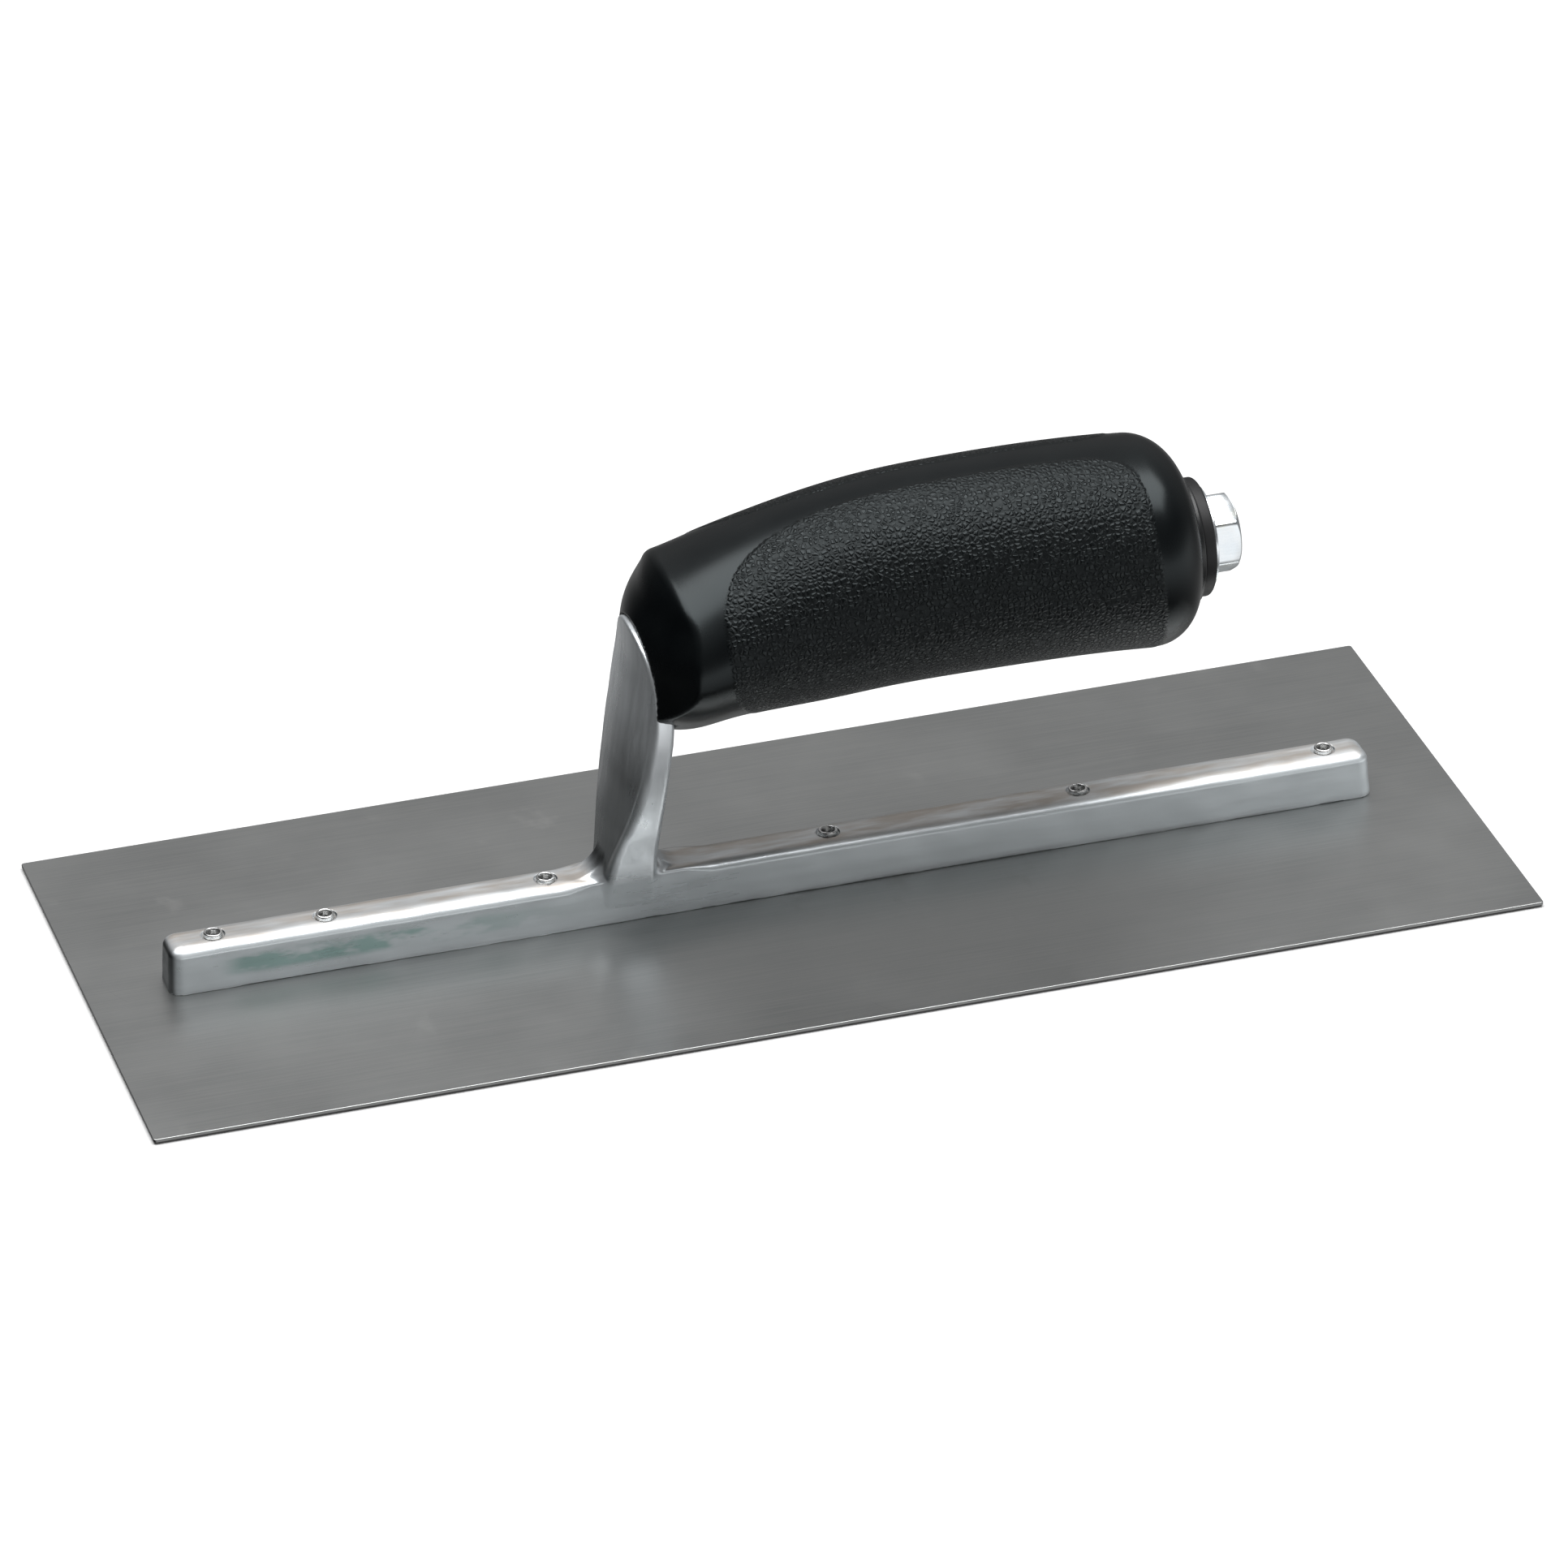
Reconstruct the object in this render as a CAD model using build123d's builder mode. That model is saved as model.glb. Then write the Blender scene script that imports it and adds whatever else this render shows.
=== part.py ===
from build123d import *
import math
import os

# Finishing trowel, millimetres. Origin: centre of the blade's underside.
# +X runs along the blade to the heel (bolt end), -X is the front (toe), +Z is up,
# and the XZ plane is the plane of symmetry.

# ---------------------------------------------------------------- driving dimensions
blade_l, blade_w, blade_t = 279.4, 114.3, 0.7
seat_gap = 0.02  # joint line between separate pieces that sit on each other

bar_x0, bar_x1 = -123.8, 122.7  # ends of the mounting bar
bar_half_w = 5.2  # at the blade
bar_z0, bar_top = blade_t + seat_gap, 10.2
bar_draft = 3.0  # degrees
bar_fillet = 2.8
bar_end_r = 4.2

rivet_x = [-113.8, -91.4, -46.9, 10.8, 62.5, 113.85]
rivet_shank_r = 1.60
rivet_hole_r = 1.65
rivet_head_r = 2.85  # countersunk head, flush with the working face
rivet_head_clear = 0.03
rivet_rim_r = 2.05  # rolled rim standing in its spot-face
rivet_rise = 0.62  # rim above the bar
spot_r, spot_depth = 2.55, 0.45

axis_z = 62.3  # bolt axis
bolt_r = 4.7625  # 3/8-16 bolt
bolt_tip_x = -15.5
bolt_tip_chamfer = 0.8
tap_r = 4.81
bore_r = 4.95

tang_r = 8.0
tang_clear = 0.08
tang_root_r, tang_root_z = 5.0, 57.4
tang_root_x0, tang_root_x1 = -24.6, -17.6  # the root widens to the tang between these
tang_x1 = 12.0

post_back_x = -23.5  # back of the post at its head
post_clear = 0.15  # clearance around the post in the grip

core_r, core_clear = 12.4, 0.03
core_x0, core_x1 = -11.9, 84.0
collar_r, collar_x1 = 13.0, 85.6
collar_edge_r = 0.35

grip_x1 = 84.4
grip_end_r = 9.2

pad_r, pad_t = 11.85, 2.6  # black end washer
pad_x0 = collar_x1 + seat_gap
washer_r, washer_t = 10.32, 0.8  # plain steel washer
washer_x0 = pad_x0 + pad_t + seat_gap
hex_af, hex_h = 14.29, 5.9  # bolt head, across flats and height
hex_turn = -9.0  # degrees
head_x0 = washer_x0 + washer_t + seat_gap

stand_up = (Align.CENTER, Align.CENTER, Align.MIN)

# ---------------------------------------------------------------- measured outlines
# Half outline of the post seen along the blade: (y, z). It flares up from the bar
# to a round shouldered top.
post_outline = [
    (5.0, 8.0), (5.5, 11.0), (7.9, 16.0), (10.2, 21.4), (12.1, 26.0), (13.5, 30.4),
    (14.7, 35.6), (15.3, 40.9), (15.4, 45.0), (14.95, 49.0), (13.85, 52.8), (12.3, 56.3),
    (10.1, 59.4), (7.1, 61.6), (3.7, 62.8), (0.0, 63.2),
]
post_foot_y = post_outline[0][0]
post_foot_z = 4.0  # the outline runs straight down to here, inside the bar

# Half outline of the webs at the foot of the post, seen along the blade: (y, z).
web_outline = [
    (2.6, 9.7), (3.6, 10.6), (4.9, 12.2), (6.6, 15.0), (8.2, 18.5), (9.4, 22.0), (10.4, 26.0),
]

# Side profile of the grip's rounded front face: (x of the face at y = 0, z).
nose_profile = [
    (-33.6, 34.0), (-32.0, 42.0), (-30.7, 49.4), (-29.6, 55.3), (-29.1, 57.8), (-28.3, 61.9),
    (-27.1, 64.6), (-25.3, 67.9), (-23.8, 70.9), (-21.6, 74.0), (-17.6, 79.0), (-12.0, 84.0),
]

# Sections along the grip: x, centre z, half width, height above centre,
# depth below centre, exponent of the lower half.
grip_stations = [
    (-36.0, 57.6, 22.6, 14.4, 11.0, 1.50),
    (-29.0, 57.7, 22.9, 15.2, 13.8, 1.50),
    (-23.0, 57.9, 23.1, 16.0, 17.4, 1.53),
    (-18.0, 58.3, 23.0, 16.9, 18.4, 1.60),
    (-12.0, 59.4, 22.5, 17.9, 18.2, 1.68),
    (-3.0, 61.0, 21.8, 19.1, 18.5, 1.85),
    (8.0, 62.6, 21.3, 20.3, 19.7, 1.96),
    (21.0, 63.9, 21.1, 21.2, 20.3, 2.0),
    (37.0, 64.5, 21.3, 21.5, 20.7, 2.0),
    (54.0, 64.5, 21.7, 21.5, 20.8, 2.0),
    (68.0, 64.1, 21.9, 21.3, 20.9, 2.0),
    (78.0, 63.6, 21.9, 21.0, 21.1, 2.0),
    (90.0, 63.0, 21.8, 20.5, 21.0, 2.0),
]


def cross_plane(x, z=axis_z):
    """Plane across the handle at x, with its origin on the bolt axis unless z is given."""
    return Plane(origin=(x, 0, z), x_dir=(0, 1, 0), z_dir=(1, 0, 0))


def at_rivets(z):
    return Locations(*[(x, 0, z) for x in rivet_x])


def other_side(points):
    """The (y, z) points mirrored to -y, in reverse order."""
    return [(-y, z) for y, z in reversed(points)]


# ---------------------------------------------------------------- blade
def make_blade():
    with BuildPart() as blade:
        with BuildSketch(Plane.XY):
            Rectangle(blade_l, blade_w)
        extrude(amount=blade_t)
        with at_rivets(0):
            Cone(bottom_radius=rivet_head_r + rivet_head_clear, top_radius=rivet_hole_r,
                 height=blade_t, align=stand_up, mode=Mode.SUBTRACT)
    return blade.part


# ---------------------------------------------------------------- mounting
def make_post():
    """Flared post with a crowned front that leans back, thinner towards the top."""
    blank_x0, blank_z0, blank_z1 = -50.0, 6.0, 75.0
    back = [(post_back_x, 46.0), (-24.3, 39.0), (-25.0, 31.5),
            (-25.5, 24.0), (-25.6, 17.0), (-25.6, 9.0)]  # x, z
    with BuildPart() as post:
        with BuildSketch(Plane.XZ):
            with BuildLine():
                Polyline((blank_x0, blank_z0), (blank_x0, blank_z1),
                         (post_back_x, blank_z1), back[0])
                Spline(*back)
                Polyline(back[-1], (back[-1][0], blank_z0), (blank_x0, blank_z0))
            make_face()
        extrude(amount=20, both=True)
        with BuildSketch(Plane.YZ):
            with BuildLine():
                Polyline(post_outline[0], (post_foot_y, post_foot_z),
                         (-post_foot_y, post_foot_z), (-post_foot_y, post_outline[0][1]))
                Spline(*post_outline, *other_side(post_outline[:-1]),
                       tangents=[(0.0, 1.0), (0.0, -1.0)])
            make_face()
        extrude(amount=60, both=True, mode=Mode.INTERSECT)

    # The front is an upright drum for the head and a leaning drum for the shank.
    crown_r = 60.0
    face_x, face_z = -28.53, 55.5  # where the leaning face turns upright
    lean = math.radians(9.76)
    below = 70  # start of the leaning drum, measured down its slope
    overlap = 1.0
    lean_plane = Plane(
        origin=(face_x - below * math.sin(lean), 0, face_z - below * math.cos(lean)),
        x_dir=(math.cos(lean), 0, -math.sin(lean)),
        z_dir=(math.sin(lean), 0, math.cos(lean)),
    )
    with BuildPart() as front:
        with BuildSketch(Plane.XY.offset(face_z - overlap)):
            with Locations((face_x + crown_r, 0)):
                Circle(crown_r)
        extrude(amount=30)
        with BuildSketch(lean_plane):
            with Locations((crown_r, 0)):
                Circle(crown_r)
        extrude(amount=below + 30)
    return post.part & front.part


def make_foot_webs():
    """Curved webs between the foot of the post and the bar, fore and aft."""
    front_curve = [(-31.0, 25.0), (-33.6, 20.2), (-35.2, 16.2),
                   (-37.0, 12.9), (-40.0, 10.9), (-44.5, 9.9)]  # x, z
    back_curve = [(-17.5, 9.9), (-21.2, 11.0), (-23.8, 13.4),
                  (-25.2, 17.0), (-25.55, 21.0), (-25.6, 25.0)]  # x, z
    side_z0, outline_z0 = 7.0, 5.0  # lower edges, inside the bar
    mirrored = other_side(web_outline)
    foot_y = web_outline[0][0]
    with BuildPart() as webs:
        with BuildSketch(Plane.XZ):
            with BuildLine():
                Spline(*front_curve)
                Polyline(front_curve[-1], (front_curve[-1][0], side_z0),
                         (back_curve[0][0], side_z0), back_curve[0])
                Spline(*back_curve)
                Polyline(back_curve[-1], front_curve[0])
            make_face()
        extrude(amount=14, both=True)
        with BuildSketch(Plane.YZ):
            with BuildLine():
                Spline(*web_outline)
                Polyline(web_outline[-1], mirrored[0])
                Spline(*mirrored)
                Polyline(mirrored[-1], (-foot_y, outline_z0), (foot_y, outline_z0),
                         web_outline[0])
            make_face()
        extrude(amount=80, both=True, mode=Mode.INTERSECT)
    return webs.part


def make_mounting():
    """Bar, post and tang in one casting."""
    post = make_post()
    webs = make_foot_webs()
    with BuildPart() as mounting:
        with BuildSketch(Plane.XY.offset(bar_z0)):
            with Locations(((bar_x0 + bar_x1) / 2, 0)):
                RectangleRounded(bar_x1 - bar_x0, 2 * bar_half_w, bar_end_r)
        extrude(amount=bar_top - bar_z0, taper=bar_draft)
        fillet(mounting.edges().group_by(Axis.Z)[-1], radius=bar_fillet)
        add(post)
        add(webs)
        # tapered root and tang on the back of the post head
        with BuildSketch(cross_plane(tang_root_x0, tang_root_z)):
            Circle(tang_root_r)
        with BuildSketch(cross_plane(tang_root_x1)):
            Circle(tang_r)
        loft()
        with BuildSketch(cross_plane(tang_root_x1)):
            Circle(tang_r)
        extrude(amount=tang_x1 - tang_root_x1)
        # bolt hole, from the end of the tang
        with BuildSketch(cross_plane(tang_x1)):
            Circle(tap_r)
        extrude(amount=-(tang_x1 - tang_root_x1), mode=Mode.SUBTRACT)
        # rivet holes and their spot-faces
        with at_rivets(bar_z0):
            Cylinder(rivet_hole_r, 30, align=stand_up, mode=Mode.SUBTRACT)
        with at_rivets(bar_top - spot_depth):
            Cylinder(spot_r, 5, align=stand_up, mode=Mode.SUBTRACT)
    return mounting.part


# ---------------------------------------------------------------- rivets
def make_rivets():
    """Flush head, shank and rolled hollow rim, one at each rivet place."""
    rim_base = bar_top - spot_depth + 0.03
    rim_top = bar_top + rivet_rise
    rim_outer = (rivet_rim_r, rim_top - 0.25)
    rim_crest = (rivet_rim_r - 0.28, rim_top)
    rim_inner = (rivet_rim_r - 0.58, rim_top - 0.2)
    with BuildPart() as rivet:
        with BuildSketch(Plane.XZ):
            with BuildLine():
                Polyline((0, 0), (rivet_head_r, 0), (rivet_shank_r, blade_t + 0.01),
                         (rivet_shank_r, rim_base), (rivet_rim_r - 0.1, rim_base),
                         (rivet_rim_r, rim_base + 0.12), rim_outer)
                ThreePointArc(rim_outer, rim_crest, rim_inner)
                Polyline(rim_inner, (1.25, rim_top - 1.0), (0.75, rim_top - 1.5),
                         (0, rim_top - 1.6), (0, 0))
            make_face()
        revolve(axis=Axis.Z)
    return Compound(children=[Pos(x, 0, 0) * rivet.part for x in rivet_x])


# ---------------------------------------------------------------- grip
def section_points(centre_z, half_w, height, depth, exponent, count=28):
    """Section as (y, z) points: elliptical above the centre, superelliptical below."""
    points = []
    for i in range(count):
        angle = 2 * math.pi * (i + 0.5) / count
        across, up = math.cos(angle), math.sin(angle)
        if up >= 0:
            points.append((half_w * across, centre_z + height * up))
        else:
            scale = (abs(across) ** exponent + abs(up) ** exponent) ** (-1.0 / exponent)
            points.append((half_w * across * scale, centre_z + depth * up * scale))
    return points


def make_nose_envelope():
    """Front face turned about a vertical axis, with a box for the rest of the grip."""
    turn_x = 8.0
    bottom_z, top_z = nose_profile[0][1], 95.0
    box_l = 100
    with BuildPart() as envelope:
        with BuildSketch(Plane.XZ):
            with BuildLine():
                Spline(*nose_profile)
                Polyline(nose_profile[-1], (nose_profile[-1][0], top_z), (turn_x, top_z),
                         (turn_x, bottom_z), nose_profile[0])
            make_face()
        revolve(axis=Axis((turn_x, 0, 0), (0, 0, 1)))
        with Locations((turn_x + box_l / 2, 0, (bottom_z + top_z) / 2)):
            Box(box_l, 80, top_z - bottom_z)
    return envelope.part


def make_grip():
    envelope = make_nose_envelope()
    pocket_x0, pocket_x1 = -60, post_back_x + post_clear
    pocket_outline = [(y + post_clear, z) for y, z in post_outline[:-2]]
    pocket_outline += [(3.9, 63.05), (0.0, 63.35)]
    pocket_foot_y = post_foot_y + post_clear
    tang_bore_x0 = tang_root_x1 - 0.1
    cheek_x0, cheek_z0 = -45, 30  # outer corner of the cut below the cheeks

    with BuildPart() as grip:
        for x, *section in grip_stations:
            with BuildSketch(Plane.YZ.offset(x)):
                with BuildLine():
                    Spline(*section_points(*section), periodic=True)
                make_face()
        loft()
        # square off the heel end, then round it
        with Locations((grip_x1 + 20, 0, 60)):
            Box(40, 80, 80, mode=Mode.SUBTRACT)
        fillet(grip.edges().group_by(Axis.X)[-1], radius=grip_end_r)
        add(envelope, mode=Mode.INTERSECT)
        # pocket for the head of the post, open at the front and underneath
        with BuildSketch(Plane.YZ.offset(pocket_x0)):
            with BuildLine():
                Polyline(pocket_outline[0], (pocket_foot_y, post_foot_z),
                         (-pocket_foot_y, post_foot_z), (-pocket_foot_y, post_outline[0][1]))
                Spline(*pocket_outline, *other_side(pocket_outline[:-1]),
                       tangents=[(0.0, 1.0), (0.0, -1.0)])
            make_face()
        extrude(amount=pocket_x1 - pocket_x0, mode=Mode.SUBTRACT)
        # room for the tang and its root
        with BuildSketch(cross_plane(tang_root_x0 - 0.3, tang_root_z)):
            Circle(tang_root_r + post_clear)
        with BuildSketch(cross_plane(tang_bore_x0)):
            Circle(tang_r + tang_clear)
        loft(mode=Mode.SUBTRACT)
        with BuildSketch(cross_plane(tang_bore_x0)):
            Circle(tang_r + tang_clear)
        extrude(amount=core_x0 + 0.5 - tang_root_x1, mode=Mode.SUBTRACT)
        # the cheeks beside the post end along this sloping line
        with BuildSketch(Plane.XZ):
            with BuildLine():
                Polyline((cheek_x0, cheek_z0), (cheek_x0, 52.0), (-27.8, 49.0),
                         (pocket_x1, 47.6), (pocket_x1, cheek_z0), (cheek_x0, cheek_z0))
            make_face()
        extrude(amount=40, both=True, mode=Mode.SUBTRACT)
        # bore for the core, through the heel end
        with BuildSketch(cross_plane(core_x0 - 0.05)):
            Circle(core_r + core_clear)
        extrude(amount=120, mode=Mode.SUBTRACT)
    return grip.part


def make_handle_core():
    """Rigid tube inside the grip, with a collar over the grip's heel end."""
    collar_x0 = grip_x1 + seat_gap
    with BuildPart() as core:
        with BuildSketch(cross_plane(core_x0)):
            Circle(core_r)
        extrude(amount=core_x1 - core_x0)
        with BuildSketch(cross_plane(collar_x0)):
            Circle(collar_r)
        extrude(amount=collar_x1 - collar_x0)
        # short length that joins the tube to the collar
        with BuildSketch(cross_plane(core_x1 - 1)):
            Circle(core_r)
        extrude(amount=1.5)
        collar_rim = core.edges().filter_by(GeomType.CIRCLE).sort_by(Axis.X)[-1]
        fillet(collar_rim, radius=collar_edge_r)
        # bolt bore, then the wider socket for the tang
        with BuildSketch(cross_plane(core_x0)):
            Circle(bore_r)
        extrude(amount=120, mode=Mode.SUBTRACT)
        with BuildSketch(cross_plane(core_x0 - 1)):
            Circle(tang_r + tang_clear)
        extrude(amount=tang_x1 - core_x0 + 1.6, mode=Mode.SUBTRACT)
    return core.part


# ---------------------------------------------------------------- end washers and bolt
def make_washer(x0, radius, hole_r, thickness, edge_r):
    with BuildPart() as washer:
        with BuildSketch(cross_plane(x0)):
            Circle(radius)
            Circle(hole_r, mode=Mode.SUBTRACT)
        extrude(amount=thickness)
        rims = washer.edges().filter_by(GeomType.CIRCLE).sort_by(SortBy.RADIUS)[-2:]
        fillet(rims, radius=edge_r)
    return washer.part


def make_bolt():
    turned_x0, turned_r = head_x0 - 1, 12
    head_x1 = head_x0 + hex_h
    chamfer_x = head_x1 - 1.35
    with BuildPart() as bolt:
        with BuildSketch(cross_plane(head_x0)):
            RegularPolygon(radius=hex_af / 2, side_count=6, major_radius=False,
                           rotation=hex_turn)
        extrude(amount=hex_h)
        # turned envelope that chamfers the outer corners of the head
        with BuildSketch(Plane.XZ):
            with BuildLine():
                Polyline((turned_x0, axis_z), (turned_x0, axis_z + turned_r),
                         (chamfer_x, axis_z + turned_r), (chamfer_x, axis_z + 8.9),
                         (head_x1, axis_z + 6.7), (head_x1, axis_z), (turned_x0, axis_z))
            make_face()
        revolve(axis=Axis((0, 0, axis_z), (1, 0, 0)), mode=Mode.INTERSECT)
        # shank, overlapping into the head
        with BuildSketch(cross_plane(bolt_tip_x)):
            Circle(bolt_r)
        extrude(amount=head_x0 - bolt_tip_x + 0.5)
        chamfer(bolt.faces().sort_by(Axis.X)[0].edges(), length=bolt_tip_chamfer)
    return bolt.part


# ---------------------------------------------------------------- export, one file per piece
pieces = {
    "blade": make_blade(),
    "mounting": make_mounting(),
    "rivets": make_rivets(),
    "grip": make_grip(),
    "handle_core": make_handle_core(),
    "end_pad": make_washer(pad_x0, pad_r, bore_r + 0.15, pad_t, edge_r=0.5),
    "steel_washer": make_washer(washer_x0, washer_r, bore_r + 0.2, washer_t, edge_r=0.15),
    "hex_bolt": make_bolt(),
}
os.makedirs("parts", exist_ok=True)
for name, shape in pieces.items():
    shape.label = name
    export_step(shape, "parts/" + name + ".step")
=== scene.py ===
"""A hand float: a flat steel blade, a cast bar riveted along it, and a post with a soft grip.

The blade lies on z = 0, centred on the origin with its length along X. The post rises near
x = -28 and the grip runs from it towards +X, about a level axis at z = AXIS_Z. A bolt with a
pad and a washer closes the +X end. Shapes are in millimetres; the stage is in metres.
"""
import bmesh
import bpy
import math
import numpy as np
from mathutils import Matrix, Vector
from mathutils.geometry import tessellate_polygon


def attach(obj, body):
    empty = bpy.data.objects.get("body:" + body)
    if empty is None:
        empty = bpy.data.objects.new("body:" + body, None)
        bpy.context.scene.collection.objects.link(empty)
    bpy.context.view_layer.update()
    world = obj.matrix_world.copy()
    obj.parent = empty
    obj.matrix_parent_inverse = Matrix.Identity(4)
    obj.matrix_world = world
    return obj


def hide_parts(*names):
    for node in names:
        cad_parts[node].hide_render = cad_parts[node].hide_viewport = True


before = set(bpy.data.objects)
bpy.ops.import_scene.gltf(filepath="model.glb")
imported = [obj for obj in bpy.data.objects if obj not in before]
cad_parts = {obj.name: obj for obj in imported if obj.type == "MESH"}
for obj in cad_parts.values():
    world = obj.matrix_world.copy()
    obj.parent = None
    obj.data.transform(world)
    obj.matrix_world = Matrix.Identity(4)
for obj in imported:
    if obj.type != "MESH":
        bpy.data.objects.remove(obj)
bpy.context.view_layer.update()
MM = 0.001
TURN = 2 * math.pi

# ---------------------------------------------------------------- driving dimensions, mm
BLADE_L, BLADE_W, BLADE_T = 279.4, 114.3, 0.7
BLADE_CORNER, BLADE_EDGE = 0.6, 0.12      # plan corner radius, softened edge
BLADE_HOLE_R = 2.9
FIT = 0.02                                # gap between stacked pieces

BAR_X0, BAR_X1 = -123.8, 122.7
BAR_HALF, BAR_TOP, BAR_Z0 = 5.2, 10.2, BLADE_T + FIT
BAR_CORNER = 2.7
BAR_DRAFT = math.tan(math.radians(3.2))
RIVETS = [-113.8, -91.4, -46.9, 10.8, 62.5, 113.85]

AXIS_Z = 62.3                             # axis of the tang, core and bolt
TANG_ROOT_Z = 57.4                        # height of the tang where it leaves the post
TANG_ROUND_X = -17.6                      # from here on the tang is a level cylinder
BORE_R = 4.81

POST_X, POST_BEND_Z = -28.53, 55.5        # -X face above the bend; it slopes below it
POST_SLOPE, POST_BEND = math.tan(math.radians(9.76)), 1.2
POST_CROWN_R = 60.0

SEAT_X = -23.35                           # grip surface that meets the post's +X face
NOSE_CENTRE_X = 8.0                       # centre of the grip nose's curve in plan
GRIP_END_X, GRIP_END_ROUND = 84.4, 9.2
PANEL_RISE = 0.14

CORE_R, CORE_X0, CORE_END = 12.4, -11.9, 85.6
CORE_BEVEL = 0.3
FLANGE_R, FLANGE_X0 = 13.0, 84.42
SOCKET_R, SOCKET_END = 8.08, 13.62        # where the core fits over the tang
CORE_BORE_R = 4.95
PAD_X0 = CORE_END + FIT
PAD_X1 = PAD_X0 + 2.6
WASHER_X0 = PAD_X1 + FIT
WASHER_X1 = WASHER_X0 + 0.8
BOLT_SEAT = WASHER_X1 + FIT

HEAD_H, HEAD_FLATS, HEAD_TURN = 5.9, 14.29, math.radians(-9.0)
SHANK_R, THREAD_START, BOLT_TIP = 4.75, 15.8, -15.5
THREAD_PITCH, THREAD_DEPTH = 25.4 / 16, 0.86


# ---------------------------------------------------------------- curves and distance fields
def natural_cubic(knots, values):
    """Natural cubic through the knots, constant outside."""
    knots, values = np.array(knots, float), np.array(values, float)
    count = len(knots)
    gaps = np.diff(knots)
    slopes = np.diff(values) / gaps
    system, right_side = np.zeros((count, count)), np.zeros(count)
    system[0, 0] = system[-1, -1] = 1
    for i in range(1, count - 1):
        system[i, i - 1:i + 2] = gaps[i - 1], 2 * (gaps[i - 1] + gaps[i]), gaps[i]
        right_side[i] = 6 * (slopes[i] - slopes[i - 1])
    bend = np.linalg.solve(system, right_side)

    def curve(x):
        x = np.clip(x, knots[0], knots[-1])
        i = np.clip(np.searchsorted(knots, x) - 1, 0, count - 2)
        t, gap = x - knots[i], gaps[i]
        return (values[i]
                + t * ((values[i + 1] - values[i]) / gap - gap * (2 * bend[i] + bend[i + 1]) / 6)
                + t * t * bend[i] / 2 + t ** 3 * (bend[i + 1] - bend[i]) / (6 * gap))
    return curve


def rounded_max(one, other, radius):
    """Intersection of two distance fields with a rounded edge."""
    return (np.minimum(np.maximum(one, other), -radius)
            + np.sqrt(np.maximum(one + radius, 0) ** 2 + np.maximum(other + radius, 0) ** 2))


def filleted_min(one, other, radius):
    """Union of two distance fields with a fillet."""
    return (np.maximum(np.minimum(one, other), radius)
            - np.sqrt(np.maximum(radius - one, 0) ** 2 + np.maximum(radius - other, 0) ** 2))


def smoothstep(x, start, end):
    t = np.clip((x - start) / (end - start), 0, 1)
    return t * t * (3 - 2 * t)


def from_axis(y, z, axis_z=AXIS_Z):
    return np.sqrt(y * y + (z - axis_z) ** 2)


def tang_field(x, y, z, start, length, radius, growth):
    """Round bar that swells and climbs to the axis over the given length from start."""
    t = np.clip((x - start) / length, 0, 1)
    return from_axis(y, z, TANG_ROOT_Z + (AXIS_Z - TANG_ROOT_Z) * t) - (radius + growth * t)


# ---------------------------------------------------------------- surface of a distance field
def grid(*spans):
    """Grid lines from (start, end, pitch) spans laid end to end."""
    lines = []
    for start, end, pitch in spans:
        count = max(1, int(math.ceil((end - start) / pitch)))
        lines.append(np.linspace(start, end, count, endpoint=False))
    lines.append([spans[-1][1]])
    return np.concatenate(lines)


def net_points(values, inside, lines):
    """One point in each cell the surface crosses, and the index of each cell's point."""
    nx, ny, nz = values.shape
    corners = np.zeros((nx - 1, ny - 1, nz - 1), np.uint8)
    for i, j, k in np.ndindex(2, 2, 2):
        corners += inside[i:nx - 1 + i, j:ny - 1 + j, k:nz - 1 + k]
    crossed = (corners > 0) & (corners < 8)
    cells = np.argwhere(crossed)
    index = np.full(crossed.shape, -1, np.int64)
    index[crossed] = np.arange(len(cells))
    total, hits = np.zeros((len(cells), 3)), np.zeros(len(cells))
    for axis in range(3):
        side1, side2 = [k for k in range(3) if k != axis]
        for i, j in np.ndindex(2, 2):
            low = cells.copy()
            low[:, side1] += i
            low[:, side2] += j
            high = low.copy()
            high[:, axis] += 1
            at_low, at_high = values[tuple(low.T)], values[tuple(high.T)]
            cut = (at_low < 0) != (at_high < 0)
            share = at_low[cut] / (at_low[cut] - at_high[cut])
            place = np.stack([lines[k][low[cut, k]] for k in range(3)], 1)
            place[:, axis] += share * (lines[axis][high[cut, axis]] - lines[axis][low[cut, axis]])
            total[cut] += place
            hits[cut] += 1
    return total / hits[:, None], index


def net_quads(inside, index):
    """A quad round each grid edge that the surface crosses."""
    quads = []
    for axis in range(3):
        side1, side2 = (axis + 1) % 3, (axis + 2) % 3
        low, high = [slice(None)] * 3, [slice(None)] * 3
        low[axis], high[axis] = slice(0, -1), slice(1, None)
        starts = inside[tuple(low)]
        edges = np.argwhere(starts != inside[tuple(high)])
        within = ((edges[:, side1] > 0) & (edges[:, side2] > 0)
                  & (edges[:, side1] < inside.shape[side1] - 1)
                  & (edges[:, side2] < inside.shape[side2] - 1))
        edges = edges[within]
        flip = ~starts[tuple(edges.T)]
        ring = []
        for i, j in ((-1, -1), (0, -1), (0, 0), (-1, 0)):
            cell = edges.copy()
            cell[:, side1] += i
            cell[:, side2] += j
            ring.append(index[tuple(cell.T)])
        ring = np.stack(ring, 1)
        ring[flip] = ring[flip][:, ::-1]
        quads.append(ring)
    return np.concatenate(quads)


def gradient(field, points, reach=0.02):
    slope = np.zeros_like(points)
    for k in range(3):
        step = np.zeros(3)
        step[k] = reach
        slope[:, k] = (field(*(points + step).T) - field(*(points - step).T)) / (2 * reach)
    return slope


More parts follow.
